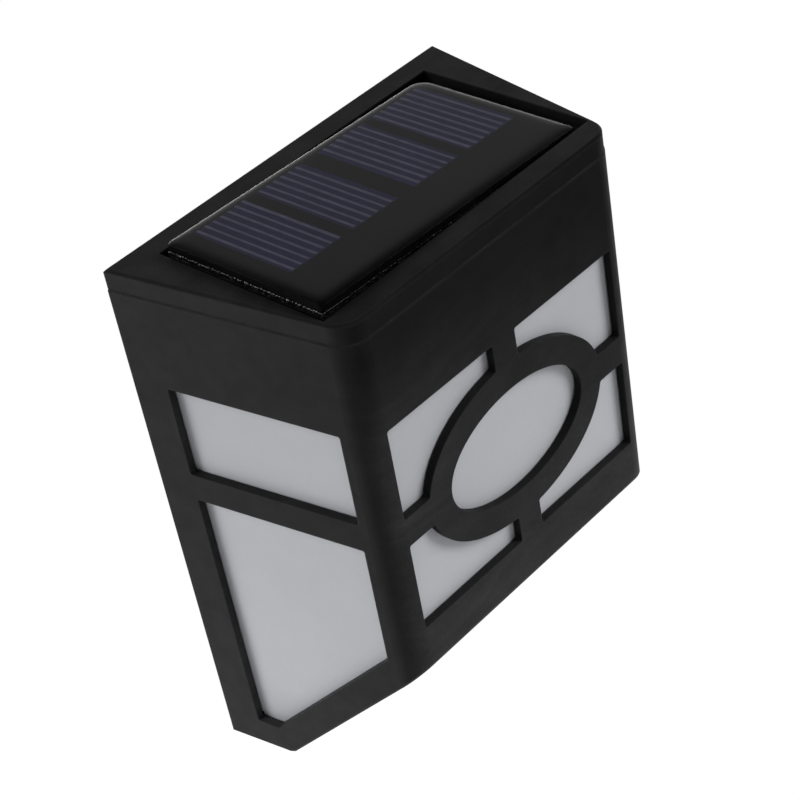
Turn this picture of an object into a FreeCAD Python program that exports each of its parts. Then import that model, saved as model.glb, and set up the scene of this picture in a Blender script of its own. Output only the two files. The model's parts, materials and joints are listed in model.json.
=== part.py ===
import FreeCAD, Part
import math
import os

# A solar fence light, in millimetres. Heights are counted from the underside of the case and depths from the
# wall, towards the front. At the end every piece is moved so that the origin is the middle of the back.
V = FreeCAD.Vector

# The case: tapered towards the front in plan, and cut away by a slant below.
height = 120.0
back_width = 91.2
front_width = 73.1
depth = 52.4
underside_depth = 15.3
slant_top = 37.4
corner_radius = 5.5
edge_bevel = 0.5
wall = 1.7
cut_overrun = 1.0
parallel_slack = 0.001

# The windows and the fret that divides them.
window_drop = 24.9
front_window_width = 64.2
front_sill = 10.0
bar_width = 6.4
ring_band = 6.1
ring_side_gap = 6.65
ring_end_gap = 5.85
pane_bevel = 0.3
side_window_back = 8.1
side_window_front = 46.0
side_sill = 7.0
slant_frame = 6.3

# The lid and the sunken bed of the solar panel.
lid_height = 4.5
lid_inset = 0.15
lid_roof = 1.8
bed_depth = 2.5
bed_width = 73.0
bed_back = 5.6
bed_front = 47.0
bed_floor = 1.6
bed_wall = 1.5
spigot_depth = 3.0
spigot_wall = 1.2
spigot_fit = 0.15
wire_slot_length = 5.0
wire_slot_width = 3.2
wire_slot_depth = 13.8

# The solar panel, which was set down a little askew, higher at its left end and at its back.
board_length = 69.6
board_width = 38.6
board_thickness = 1.0
board_shift = -1.5
board_depth = 27.05
board_turn = 0.54
board_tilt = 2.17
board_pitch = 0.44
panel_rise = 1.85
resin_thickness = 1.8
resin_margin = 0.35
resin_corner = 3.2
snapped_corner = 1.0
resin_bevel = 0.8
strip_count = 4
strip_width = 11.2
strip_length = 25.0
strip_thickness = 0.25
strip_pitch = 15.6
strip_set_back = 1.4
bead_width = 3.2
bead_margin = 0.25

# The diffuser.
diffuser_gap = 0.3
diffuser_wall = 1.2
diffuser_back = 5.2
diffuser_overlap = 3.9

# The back cover, its screws, and the bosses that they run into.
cover_thickness = 2.4
cover_fit = 0.2
lip_depth = 2.5
lip_wall = 1.4
pad_half = 3.9
pad_depth = 3.6
boss_radius = 2.7
boss_cap = 0.3
boss_fit = 0.4
boss_lift = 0.2
web_half = 1.2
web_bite = 1.0
upper_screw_drop = 12.0
cover_screw_radius = 1.25
cover_screw_length = 5.2
head_radius = 2.4
head_height = 1.8
head_sink = 2.1
head_fit = 0.3
shank_fit = 0.25
thread_fit = 0.05
drive_width = 0.6
drive_length = 2.6
drive_depth = 0.8

# The keyhole that takes the head of a wall screw.
keyhole_drop = 39.0
keyhole_radius = 4.5
keyhole_slot_width = 4.6
keyhole_rise = 7.5
keyhole_room = 0.7
keyhole_pocket_depth = 4.6
pocket_wall = 1.4

# The slide switch and the finger recess around its lever.
switch_inset = 21.6
switch_drop = 36.0
recess_width = 18.0
recess_height = 9.0
recess_depth = 2.6
switch_length = 10.4
switch_height = 5.6
switch_depth = 3.8
switch_sheet = 0.3
ear_reach = 9.6
ear_height = 4.4
ear_hole_spacing = 15.0
stake_radius = 1.0
stake_head_radius = 1.6
stake_head_height = 0.6
stake_fit = 0.1
lever_width = 2.4
lever_height = 3.0
lever_set_back = 0.5
lever_bevel = 0.25
switch_travel = 2.5
slider_length = 5.2
slider_height = 4.4
slider_fit = 0.3
base_thickness = 0.8
base_fit = 0.05
terminal_pitch = 2.5
terminal_width = 1.2
terminal_thickness = 0.4
terminal_length = 3.2

# The rechargeable cell and its contacts.
cell_radius = 5.2
cell_length = 43.6
nub_radius = 1.9
nub_height = 0.9
cell_seat = 0.1
cell_headroom = 0.5
spring_room = 3.4
bow_reach = 3.2
bow_width = 5.0
bow_fit = 0.05
contact_size = 8.0
contact_thickness = 0.4
contact_tail = 3.0
tail_reach = 3.0

# The tray that carries the cell and the circuit board.
tray_thickness = 1.6
tray_width = 58.0
tray_front = 33.0
tray_stand = 4.0
flange_height = 9.0
tray_screw_inset = 7.0
tray_screw_radius = 1.1
tray_screw_length = 4.6
tray_boss_half = 3.0
gusset_inset = 2.0
gusset_wall = 1.4
bay_depth = 23.5
bay_wall = 1.4
bay_fit = 0.4
bay_end_height = 7.5
rail_height = 5.0

# The circuit board and what it carries.
board_stand = 3.0
circuit_length = 40.0
circuit_width = 22.0
circuit_back = 10.0
circuit_thickness = 1.6
circuit_screw_spacing = 32.0
circuit_screw_depth = 14.0
circuit_screw_radius = 1.0
circuit_screw_length = 4.0
board_boss_half = 2.5
small_head_radius = 1.9
small_head_height = 1.3
led_spacing = 22.0
led_depth = 25.0
led_radius = 2.5
led_flange_radius = 2.9
led_flange_height = 1.0
led_length = 5.6
led_stand = 1.0
lead_width = 0.5
lead_spacing = 2.54
lead_fit = 0.02
lead_proud = 0.6
chip_width = 4.2
chip_thickness = 1.6
chip_height = 3.2
chip_side = -2.5
chip_depth = 15.0
chip_lead_count = 4
chip_lead_pitch = 1.05
chip_bevel = 0.4
choke_radius = 1.5
choke_length = 7.0
choke_side = 4.5
choke_depth = 19.0
choke_lead_reach = 1.2

# The wires.
wire_radius = 0.6
wire_spacing = 2.4
wire_lift = 0.05
pad_overlap = 3.5
switch_pad_side = 9.0
switch_pad_depth = 16.5

# Sizes that follow from the ones above.
taper = (back_width - front_width) / 2 / depth
seam = height - lid_height
boss_end = head_sink + cover_screw_length + boss_cap
window_top = height - window_drop
window_bottom = slant_top + front_sill
bar_level = (window_top + window_bottom) / 2
diffuser_top = window_top + diffuser_overlap
bed_level = height - bed_depth
cell_level = bed_level - bed_floor - cell_headroom - cell_radius
tray_top = cell_level - cell_radius - cell_seat
tray_level = tray_top - tray_thickness
circuit_top = tray_level - board_stand
circuit_level = circuit_top - circuit_thickness
keyhole_level = height - keyhole_drop
tray_screw_level = tray_level + flange_height / 2 + tray_thickness / 2
switch_side = back_width / 2 - switch_inset
switch_level = height - switch_drop
switch_face = -recess_depth - pocket_wall
choke_level = circuit_level - led_stand - choke_radius
bay_length = cell_length + nub_height + spring_room + 2 * contact_thickness


def box(low, high):
    """A box between its lowest and highest corners."""
    size = high - low
    return Part.makeBox(size.x, size.y, size.z, low)


def rod(radius, start, end):
    """A round rod from one point to another."""
    return Part.makeCylinder(radius, start.distanceToPoint(end), start, end - start)


def prism(points, direction):
    """A straight prism over a closed outline."""
    return Part.Face(Part.makePolygon(points + [points[0]])).extrude(direction)


def pair(shape):
    """A shape and its mirror image across the middle of the light."""
    return [shape, shape.mirror(V(0, 0, 0), V(1, 0, 0))]


def edges_along(shape, direction):
    """The straight edges of a shape that run along a direction."""
    found = []
    for edge in shape.Edges:
        run = edge.Vertexes[-1].Point - edge.Vertexes[0].Point
        if run.Length > parallel_slack and run.cross(direction).Length < run.Length * parallel_slack:
            found.append(edge)
    return found


def half_width(y, inset=0.0):
    """Half the width of the case at a place y, less an inset taken square to its side."""
    return back_width / 2 + taper * y - inset * math.hypot(1, taper)


def slant_depth(level, inset=0.0):
    """How far from the wall the slant lies at a height, moved in by an inset."""
    run = depth - underside_depth
    length = math.hypot(run, slant_top)
    return underside_depth + (level * run - inset * length) / slant_top


def slant_level(from_wall, inset=0.0):
    """How high the slant lies at a distance from the wall, moved in by an inset."""
    run = depth - underside_depth
    length = math.hypot(run, slant_top)
    return ((from_wall - underside_depth) * slant_top + inset * length) / run


def case_block(inset, top, back=0.0):
    """The form of the case up to a height, drawn in by an inset on all sides but the back."""
    front = inset - depth
    plan = [
        V(-half_width(back, inset), back, -cut_overrun),
        V(half_width(back, inset), back, -cut_overrun),
        V(half_width(front, inset), front, -cut_overrun),
        V(-half_width(front, inset), front, -cut_overrun),
    ]
    column = prism(plan, V(0, 0, top + cut_overrun))
    corners = [e for e in edges_along(column, V(0, 0, 1)) if e.CenterOfMass.y < back - cut_overrun]
    column = column.makeFillet(corner_radius - inset, corners)
    side = [
        V(-back_width, back, inset),
        V(-back_width, -slant_depth(inset, inset), inset),
        V(-back_width, front, slant_level(-front, inset)),
        V(-back_width, front, top),
        V(-back_width, back, top),
    ]
    return column.common(prism(side, V(2 * back_width, 0, 0)))


def between(shape, low, high):
    """The part of a shape between two heights."""
    return shape.common(box(V(-back_width, -2 * depth, low), V(back_width, depth, high)))


def lower_screw():
    """The middle of the lower right cover screw."""
    return V(half_width(-boss_end, wall) - boss_radius, 0, wall + boss_radius + boss_lift)


def screw_places():
    """The middle of each cover screw, as its side and its height."""
    low = lower_screw()
    return [V(x, 0, z) for x in (-low.x, low.x) for z in (low.z, height - upper_screw_drop)]


def front_panes():
    """Cutters for the four corner panes of the front window and the oval pane inside the ring."""
    face = -depth - cut_overrun
    through = V(0, wall + 2 * cut_overrun, 0)
    half = front_window_width / 2
    bar = bar_width / 2
    ring_x = half - ring_side_gap
    ring_z = window_top - bar_level - ring_end_gap
    window = box(V(-half, face, window_bottom), V(half, face, window_top) + through)
    upright = box(V(-bar, face, 0), V(bar, face, height) + through)
    crossbar = box(V(-half, face, bar_level - bar), V(half, face, bar_level + bar) + through)
    fret = upright.fuse(crossbar).fuse(oval(ring_x, ring_z, face, through))
    corners = window.cut(fret)
    corners = corners.makeChamfer(pane_bevel, edges_along(corners, through))
    return [corners, oval(ring_x - ring_band, ring_z - ring_band, face, through)]


def oval(reach_x, reach_z, y, through):
    """An oval prism about the middle of the fret."""
    centre = V(0, y, bar_level)
    if reach_x >= reach_z:
        curve = Part.Ellipse(centre + V(reach_x, 0, 0), centre + V(0, 0, reach_z), centre)
    else:
        curve = Part.Ellipse(centre + V(0, 0, reach_z), centre + V(reach_x, 0, 0), centre)
    return Part.Face(Part.Wire(curve.toShape())).extrude(through)


def side_panes():
    """Cutters for the upper and the lower pane of both sides, square to the tapered side."""
    back, front = -side_window_back, -side_window_front
    outward = V(1, -taper, 0).normalize()
    upper = [(back, bar_level + bar_width / 2), (front, bar_level + bar_width / 2)]
    upper += [(front, window_top), (back, window_top)]
    lower = [(back, bar_level - bar_width / 2), (front, bar_level - bar_width / 2)]
    lower += [(front, slant_level(side_window_front, slant_frame))]
    lower += [(-slant_depth(side_sill, slant_frame), side_sill), (back, side_sill)]
    cutters = []
    for outline in (upper, lower):
        points = [V(half_width(y), y, z) + outward * cut_overrun for y, z in outline]
        pane = prism(points, outward * -(wall + 2 * cut_overrun))
        pane = pane.makeChamfer(pane_bevel, edges_along(pane, outward))
        cutters += pair(pane)
    return cutters


def make_housing():
    """The case: front, sides, underside and slant, with its windows and the bosses of the cover screws."""
    shell = case_block(0, seam)
    low_edges = [e for e in shell.Edges if e.CenterOfMass.z < slant_top + edge_bevel]
    shell = shell.makeChamfer(edge_bevel, [e for e in low_edges if e.BoundBox.YMin < -edge_bevel])
    shell = shell.cut(case_block(wall, seam + cut_overrun, cut_overrun))
    for cutter in front_panes() + side_panes():
        shell = shell.cut(cutter)
    for place in screw_places():
        shell = shell.fuse(cover_boss(place))
    for place in screw_places():
        hole = cover_screw_radius + thread_fit
        shell = shell.cut(rod(hole, place, place - V(0, boss_end - boss_cap + thread_fit, 0)))
    return shell.removeSplitter()


def cover_boss(place):
    """A screw boss with a web to the side and, near the underside, one to the underside."""
    start, end = -pad_depth, -boss_end
    boss = rod(boss_radius, V(place.x, start, place.z), V(place.x, end, place.z))
    wall_x = half_width(end, wall) + web_bite
    web = box(V(abs(place.x), end, place.z - web_half), V(wall_x, start, place.z + web_half))
    boss = boss.fuse(web if place.x > 0 else pair(web)[1])
    if place.z < slant_top:
        foot = box(V(place.x - web_half, end, wall / 2), V(place.x + web_half, start, place.z))
        boss = boss.fuse(foot)
    return boss


def make_top_lid():
    """The cap of the case, with the sunken bed of the panel and a spigot that locates it in the case."""
    lid = between(case_block(lid_inset, height), seam, height)
    rim = [e for e in lid.Edges if e.BoundBox.ZMin > height - edge_bevel]
    lid = lid.makeChamfer(edge_bevel, rim)
    lid = lid.cut(case_block(lid_inset + wall, height - lid_roof, -wall))
    half = bed_width / 2
    bed = box(V(-half, -bed_front, bed_level), V(half, -bed_back, height + cut_overrun))
    pan_low = V(-half - bed_wall, -bed_front - bed_wall, bed_level - bed_floor)
    pan = box(pan_low, V(half + bed_wall, -bed_back + bed_wall, height - lid_roof / 2))
    lid = lid.fuse(pan.common(case_block(lid_inset + wall / 2, height)))
    inset = wall + spigot_fit
    spigot = case_block(inset, height - lid_roof / 2, -cover_thickness - lip_depth)
    spigot = spigot.cut(case_block(inset + spigot_wall, height, 0))
    lid = lid.fuse(between(spigot, seam - spigot_depth, height - lid_roof / 2))
    lid = lid.cut(bed)
    return lid.cut(wire_slot(seam)).removeSplitter()


def wire_slot(level):
    """The cutter of the slot that the panel's wires pass through, from a height up."""
    half = V(wire_slot_length / 2, wire_slot_width / 2, 0)
    middle = V(0, -wire_slot_depth, level)
    return box(middle - half, middle + half + V(0, 0, height))


def make_diffuser():
    """The frosted insert that lines the windows, notched at the lower cover screws."""
    inset = wall + diffuser_gap
    tub = case_block(inset, diffuser_top, -diffuser_back)
    tub = tub.cut(case_block(inset + diffuser_wall, diffuser_top + cut_overrun, cut_overrun))
    low_screw = lower_screw()
    clearance = boss_radius + boss_fit
    low = V(low_screw.x - clearance, -boss_end - diffuser_gap, 0)
    for notch in pair(box(low, V(back_width, 0, low_screw.z + clearance))):
        tub = tub.cut(notch)
    return tub


def cover_slab(inner_face, outer_face, inset):
    """A slice of the space inside the case, between two depths, up to the joint with the lid."""
    block = case_block(inset, seam - cover_fit, cut_overrun)
    return block.common(box(V(-back_width, inner_face, 0), V(back_width, outer_face, height)))


def make_back_cover():
    """The cover: plate, lip, screw pads, keyhole with its pocket, switch recess, and the tray's bosses."""
    inset = wall + cover_fit
    plate = cover_slab(-cover_thickness, 0, inset)
    lip_end = -cover_thickness - lip_depth
    lip = cover_slab(lip_end, -cover_thickness, inset).cut(cover_slab(lip_end, 0, inset + lip_wall))
    cover = plate.fuse(between(lip, 0, diffuser_top))
    low_screw = lower_screw()
    clearance = boss_radius + boss_fit
    low = V(low_screw.x - clearance, lip_end - cut_overrun, 0)
    for boss_room in pair(box(low, V(back_width, -pad_depth, low_screw.z + clearance))):
        cover = cover.cut(boss_room)
    pieces = [keyhole_block(pocket_wall), recess_block(pocket_wall)]
    reach = V(pad_half, 0, pad_half)
    pieces += [box(place - reach - V(0, pad_depth, 0), place + reach) for place in screw_places()]
    cover = cover.fuse([piece.common(cover_slab(-depth, 0, inset)) for piece in pieces])
    for place in tray_screw_places():
        half = V(tray_boss_half, 0, tray_boss_half)
        cover = cover.fuse(box(place - half, place + half + V(0, tray_stand - cover_thickness, 0)))
    cover = cover.cut(keyhole_block(0)).cut(keyhole()).cut(recess_block(0))
    cover = cover.cut(lever_slot(switch_face - cut_overrun))
    for place in screw_places():
        cover = cover.cut(rod(head_radius + head_fit, place, place - V(0, head_sink, 0)))
        cover = cover.cut(rod(cover_screw_radius + shank_fit, place, place - V(0, boss_end, 0)))
    for place in tray_screw_places():
        tip = place + V(0, tray_screw_length - tray_thickness + thread_fit, 0)
        cover = cover.cut(rod(tray_screw_radius + thread_fit, place, tip))
    return cover.fuse(heat_stakes()).removeSplitter()


def keyhole_block(grow):
    """The room behind the keyhole for the head of the wall screw, grown by its own wall."""
    reach = keyhole_radius + keyhole_room + grow
    low = V(-reach, -cover_thickness - keyhole_pocket_depth - grow, keyhole_level - reach)
    high = V(reach, -cover_thickness, keyhole_level + keyhole_rise + reach)
    return box(low, high)


def keyhole():
    """The keyhole: a round entry with a narrower slot above it."""
    entry = V(0, cut_overrun, keyhole_level)
    back = V(0, -cover_thickness - 2 * cut_overrun, 0)
    top = entry + V(0, 0, keyhole_rise)
    half = V(keyhole_slot_width / 2, 0, 0)
    slot = box(entry + back - half, top + half)
    hole = rod(keyhole_radius, entry, entry + back)
    return hole.fuse(slot).fuse(rod(half.x, top, top + back))


def recess_block(grow):
    """The finger recess of the switch, open at the back face, grown by its own wall."""
    low = V(-recess_width / 2, -recess_depth, -recess_height / 2) - V(grow, grow, grow)
    high = V(recess_width / 2 + grow, cut_overrun, recess_height / 2 + grow)
    return box(low, high).translated(V(switch_side, 0, switch_level))


def lever_slot(inner_end):
    """The slot that the switch lever moves in, from a depth inside out to the back face."""
    half_x = (lever_width + switch_travel) / 2 + slider_fit
    half_z = lever_height / 2 + slider_fit
    slot = box(V(-half_x, inner_end, -half_z), V(half_x, 0, half_z))
    return slot.translated(V(switch_side, 0, switch_level))


def stake_places():
    """The middles of the two stakes that hold the switch."""
    reach = ear_hole_spacing / 2
    return [V(switch_side + x, switch_face, switch_level) for x in (-reach, reach)]


def heat_stakes():
    """The two posts of the cover that pass through the switch's ears, with their melted heads."""
    stakes = []
    for place in stake_places():
        neck_end = place - V(0, switch_sheet, 0)
        post = rod(stake_radius, place + V(0, pocket_wall / 2, 0), neck_end)
        stakes.append(post.fuse(rod(stake_head_radius, neck_end, neck_end - V(0, stake_head_height, 0))))
    return stakes[0].fuse(stakes[1])


def screw(seat, along, radius, length, cap_radius, cap_height):
    """A screw whose head rests on a seat and whose shank runs on along a unit vector."""
    head = rod(cap_radius, seat, seat - along * cap_height)
    return head.fuse(rod(radius, seat, seat + along * length))


def crossed_recess(seat):
    """The cutter of the driver recess in the head of a cover screw."""
    floor = seat + V(0, head_height - drive_depth, 0)
    mouth = seat + V(0, head_height + cut_overrun, 0)
    long_side, short_side = drive_length / 2, drive_width / 2
    across = box(floor - V(long_side, 0, short_side), mouth + V(long_side, 0, short_side))
    return across.fuse(box(floor - V(short_side, 0, long_side), mouth + V(short_side, 0, long_side)))


def make_cover_screws():
    """The four screws of the back cover, driven from the back."""
    screws = []
    for place in screw_places():
        seat = place - V(0, head_sink, 0)
        shape = screw(seat, V(0, -1, 0), cover_screw_radius, cover_screw_length, head_radius, head_height)
        screws.append(shape.cut(crossed_recess(seat)))
    return Part.makeCompound(screws)


def tray_screw_places():
    """Where the tray's flange meets its two bosses on the cover."""
    reach = tray_width / 2 - tray_screw_inset
    return [V(x, -tray_stand, tray_screw_level) for x in (-reach, reach)]


def make_tray_screws():
    """The two screws that hold the tray's flange on the cover."""
    screws = []
    for place in tray_screw_places():
        seat = place - V(0, tray_thickness, 0)
        screws.append(small_screw(seat, V(0, 1, 0), tray_screw_radius, tray_screw_length))
    return Part.makeCompound(screws)


def small_screw(seat, along, radius, length):
    """A screw with the head that the tray's and the board's screws share."""
    return screw(seat, along, radius, length, small_head_radius, small_head_height)


def make_inner_tray():
    """The tray: a shelf with a flange, the bay of the cell on top and blocks for the board below."""
    half = tray_width / 2
    tray = box(V(-half, -tray_front, tray_level), V(half, -tray_stand, tray_top))
    behind = V(half, -tray_stand, tray_level)
    tray = tray.fuse(box(V(-half, behind.y - tray_thickness, tray_level), behind + V(0, 0, flange_height)))
    rise = flange_height - tray_thickness
    corner = behind - V(gusset_inset, 0, 0)
    outline = [corner, corner - V(0, flange_height, 0), corner + V(0, 0, rise)]
    tray = tray.fuse(pair(prism(outline, V(-gusset_wall, 0, 0))) + [cell_bay()])
    for place in board_screw_places():
        half = V(board_boss_half, board_boss_half, 0)
        tray = tray.fuse(box(place - half, place + half + V(0, 0, board_stand)))
        tip = place + V(0, 0, board_stand + tray_thickness)
        tray = tray.cut(rod(circuit_screw_radius + thread_fit, place, tip))
    for x in (-bay_length / 2, bay_length / 2 - contact_thickness):
        tray = tray.cut(contact_tail_block(x, lead_fit))
    for place in tray_screw_places():
        tray = tray.cut(rod(tray_screw_radius + shank_fit, place, place - V(0, tray_thickness, 0)))
    return tray.cut(wire_slot(tray_level)).removeSplitter()


def cell_bay():
    """The two end walls and the two side rails that hold the cell."""
    end_x = bay_length / 2
    half_y = cell_radius + bay_fit
    outer = V(end_x + bay_wall, half_y + bay_wall, 0)
    middle = V(0, -bay_depth, tray_top)
    low = middle - outer - V(0, 0, tray_thickness)
    ends = box(low, middle + outer + V(0, 0, bay_end_height))
    ends = ends.cut(box(V(-end_x, -depth, tray_top), V(end_x, 0, height)))
    rails = box(low, middle + outer + V(0, 0, rail_height))
    inside = V(end_x, half_y, 0)
    rails = rails.cut(box(middle - inside, middle + inside + V(0, 0, height)))
    return ends.fuse(rails)


def board_screw_places():
    """Where the two screws of the circuit board start, on the board's upper face."""
    half = circuit_screw_spacing / 2
    return [V(x, -circuit_screw_depth, circuit_top) for x in (-half, half)]


def make_board_screws():
    """The two screws that hold the circuit board up under the tray."""
    screws = []
    for place in board_screw_places():
        seat = place - V(0, 0, circuit_thickness)
        screws.append(small_screw(seat, V(0, 0, 1), circuit_screw_radius, circuit_screw_length))
    return Part.makeCompound(screws)


def led_places():
    """The middle of each lamp on the underside of the circuit board."""
    return [V(x, -led_depth, circuit_level) for x in (-led_spacing / 2, led_spacing / 2)]


def legs(feet, grow):
    """Square legs that rise from the feet through the circuit board, grown by a clearance."""
    half = V(lead_width / 2 + grow, lead_width / 2 + grow, 0)
    top = circuit_top + lead_proud
    return [box(foot - half, V(foot.x, foot.y, top) + half) for foot in feet]


def led_feet():
    """Where the legs leave the two lamps."""
    spread = (-lead_spacing / 2, lead_spacing / 2)
    return [place + V(x, 0, -led_stand) for place in led_places() for x in spread]


def chip_feet():
    """Where the legs leave the driver chip."""
    middle = V(chip_side, -chip_depth, circuit_level - led_stand)
    steps = range(chip_lead_count)
    return [middle + V((step - (chip_lead_count - 1) / 2) * chip_lead_pitch, 0, 0) for step in steps]


def choke_feet():
    """Where the legs of the choke turn up towards the circuit board."""
    reach = choke_length / 2 + choke_lead_reach
    level = choke_level - lead_width / 2
    return [V(choke_side + x, -choke_depth, level) for x in (-reach, reach)]


def make_circuit_board():
    """The circuit board, drilled for its screws and for the legs of its parts."""
    half = circuit_length / 2
    low = V(-half, -circuit_back - circuit_width, circuit_level)
    board = box(low, V(half, -circuit_back, circuit_top))
    for place in board_screw_places():
        board = board.cut(rod(circuit_screw_radius + shank_fit, place, place - V(0, 0, circuit_thickness)))
    return board.cut(legs(led_feet() + chip_feet() + choke_feet(), lead_fit))


def make_led(place):
    """One wide-beam lamp: a flange at its foot and a straight body with a flat end."""
    top = place - V(0, 0, led_stand)
    flange = rod(led_flange_radius, top, top - V(0, 0, led_flange_height))
    return flange.fuse(rod(led_radius, top, top - V(0, 0, led_length)))


def make_driver_chip():
    """The body of the driver chip, standing below the circuit board on its legs."""
    top = circuit_level - led_stand
    low = V(chip_side - chip_width / 2, -chip_depth - chip_thickness / 2, top - chip_height)
    body = box(low, low + V(chip_width, chip_thickness, chip_height))
    front_edges = [e for e in edges_along(body, V(0, 0, 1)) if e.CenterOfMass.y < -chip_depth]
    return body.makeChamfer(chip_bevel, front_edges)


def make_choke():
    """The round body of the choke, which lies under the circuit board."""
    middle = V(choke_side, -choke_depth, choke_level)
    half = V(choke_length / 2, 0, 0)
    return rod(choke_radius, middle - half, middle + half)


def make_choke_leads():
    """The choke's two leads, which leave its ends and turn up through the circuit board."""
    half = V(0, lead_width / 2, lead_width / 2)
    end = V(choke_side + choke_length / 2, -choke_depth, choke_level)
    leads = []
    for side, leg in zip((-1, 1), legs(choke_feet(), 0)):
        stub = box(end - half, end + half + V(choke_lead_reach + lead_width / 2, 0, 0))
        stub = stub if side > 0 else stub.mirror(V(choke_side, 0, 0), V(1, 0, 0))
        leads.append(leg.fuse(stub).removeSplitter())
    return Part.makeCompound(leads)


def cell_start():
    """The middle of the flat minus end of the cell."""
    return V(-bay_length / 2 + contact_thickness + spring_room, -bay_depth, cell_level)


def make_battery_cell():
    """The cell with the plus nub at its right end."""
    start = cell_start()
    end = start + V(cell_length, 0, 0)
    return rod(cell_radius, start, end).fuse(rod(nub_radius, end, end + V(nub_height, 0, 0)))


def contact_tail_block(x, grow):
    """A contact's tail, which runs from the contact down through the tray, grown by a clearance."""
    half = contact_tail / 2 + grow
    low = V(x - grow, -bay_depth - half, tray_level - tail_reach)
    return box(low, V(x + contact_thickness + grow, -bay_depth + half, tray_top + grow))


def contact_leaf(x):
    """A square contact leaf against an end wall of the bay, with its tail."""
    low = V(x, -bay_depth - contact_size / 2, tray_top)
    leaf = box(low, low + V(contact_thickness, contact_size, contact_size))
    return leaf.fuse(contact_tail_block(x, 0)).removeSplitter()


def make_contact_plate():
    """The plus contact."""
    return contact_leaf(bay_length / 2 - contact_thickness)


def make_contact_spring():
    """The minus contact: a leaf whose bow presses on the flat end of the cell."""
    x = -bay_length / 2
    foot = V(x + contact_thickness / 2, -bay_depth - bow_width / 2, cell_level)
    crown = V(x + contact_thickness + spring_room - bow_fit, foot.y, cell_level)
    ends = []
    for thickness in (0, contact_thickness):
        reach = V(0, 0, bow_reach - thickness)
        ends.append(Part.Arc(foot + reach, crown - V(thickness, 0, 0), foot - reach).toShape())
    outer, inner = ends
    sides = [Part.makeLine(outer.Vertexes[n].Point, inner.Vertexes[n].Point) for n in (0, 1)]
    bow = Part.Face(Part.Wire([outer, sides[1], inner, sides[0]])).extrude(V(0, bow_width, 0))
    return contact_leaf(x).fuse(bow).removeSplitter()


def panel_place(shape):
    """Sets a shape, made round the middle of the board's underside, in its place in the bed."""
    lift = V(board_shift, -board_depth, height + panel_rise - resin_thickness - board_thickness)
    tilt = FreeCAD.Rotation(V(1, 0, 0), board_pitch) * FreeCAD.Rotation(V(0, 1, 0), board_tilt)
    turn = tilt * FreeCAD.Rotation(V(0, 0, 1), board_turn)
    placed = shape.copy()
    placed.Placement = FreeCAD.Placement(lift, turn)
    return placed


def flat_board():
    """The panel's board before it is set in place."""
    half = V(board_length / 2, board_width / 2, 0)
    return box(-half, half + V(0, 0, board_thickness))


def flat_cells():
    """The cell strips before they are set in place, each with its length across the panel."""
    back = board_width / 2 - resin_margin - strip_set_back
    cells = []
    for count in range(strip_count):
        middle = (count - (strip_count - 1) / 2) * strip_pitch
        low = V(middle - strip_width / 2, back - strip_length, board_thickness)
        cells.append(box(low, low + V(strip_width, strip_length, strip_thickness)))
    return cells


def make_solar_board():
    """The panel's board."""
    return panel_place(flat_board())


def make_solar_cells():
    """The four cell strips."""
    return panel_place(Part.makeCompound(flat_cells()))


def make_panel_resin():
    """The clear resin that is cast over the cells, with one round corner and its upper edge broken."""
    half = V(board_length / 2 - resin_margin, board_width / 2 - resin_margin, 0)
    low = V(0, 0, board_thickness)
    resin = box(low - half, low + half + V(0, 0, resin_thickness))
    cast = [e for e in edges_along(resin, V(0, 0, 1)) if e.BoundBox.XMin > 0 and e.BoundBox.YMin > 0]
    resin = resin.makeFillet(resin_corner, cast)
    snapped = [e for e in edges_along(resin, V(0, 0, 1)) if e.BoundBox.XMin < 0 or e.BoundBox.YMin < 0]
    resin = resin.makeFillet(snapped_corner, snapped)
    top = board_thickness + resin_thickness
    resin = resin.makeChamfer(resin_bevel, [e for e in resin.Edges if e.BoundBox.ZMin > top - resin_bevel])
    for cell in flat_cells():
        resin = resin.cut(cell)
    return panel_place(resin)


def make_panel_adhesive():
    """The bead under the rim of the board, which fills the wedge between the bed and the tilted board."""
    outer = V(board_length / 2 - bead_margin, board_width / 2 - bead_margin, 0)
    inner = outer - V(bead_width, bead_width, 0)
    reach = V(0, 0, height)
    ring = box(-outer - reach, outer).cut(box(-inner - reach, inner))
    above_bed = box(V(-back_width, -depth, bed_level), V(back_width, 0, 2 * height))
    return panel_place(ring).common(above_bed)


def panel_wire(x):
    """A straight wire from the board's underside, through the lid and the tray, to the circuit board."""
    foot = V(x, -wire_slot_depth, circuit_top)
    wire = rod(wire_radius, foot, foot + V(0, 0, height))
    half = V(board_length, board_width, 0)
    return wire.cut(panel_place(box(-half, half + V(0, 0, 2 * height))))


def battery_wire(side):
    """A short wire that lies on the circuit board, from the tail of a contact."""
    z = circuit_top + wire_radius + wire_lift
    tail = bay_length / 2 - contact_thickness
    end = circuit_length / 2 - pad_overlap
    return rod(wire_radius, V(side * tail, -bay_depth, z), V(side * end, -bay_depth, z))


def switch_wire(terminal, pad):
    """A taut wire from a terminal of the switch up to the underside of the circuit board."""
    tip = switch_face - switch_depth - terminal_length
    start = V(switch_side + terminal * terminal_pitch, tip - wire_radius, switch_level)
    end = V(switch_pad_side + pad * wire_spacing, -switch_pad_depth, circuit_level)
    wire = rod(wire_radius, start, end + (end - start).normalize() * wire_radius)
    above = box(V(-back_width, -depth, circuit_level), V(back_width, 0, height))
    return wire.cut(above)


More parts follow.
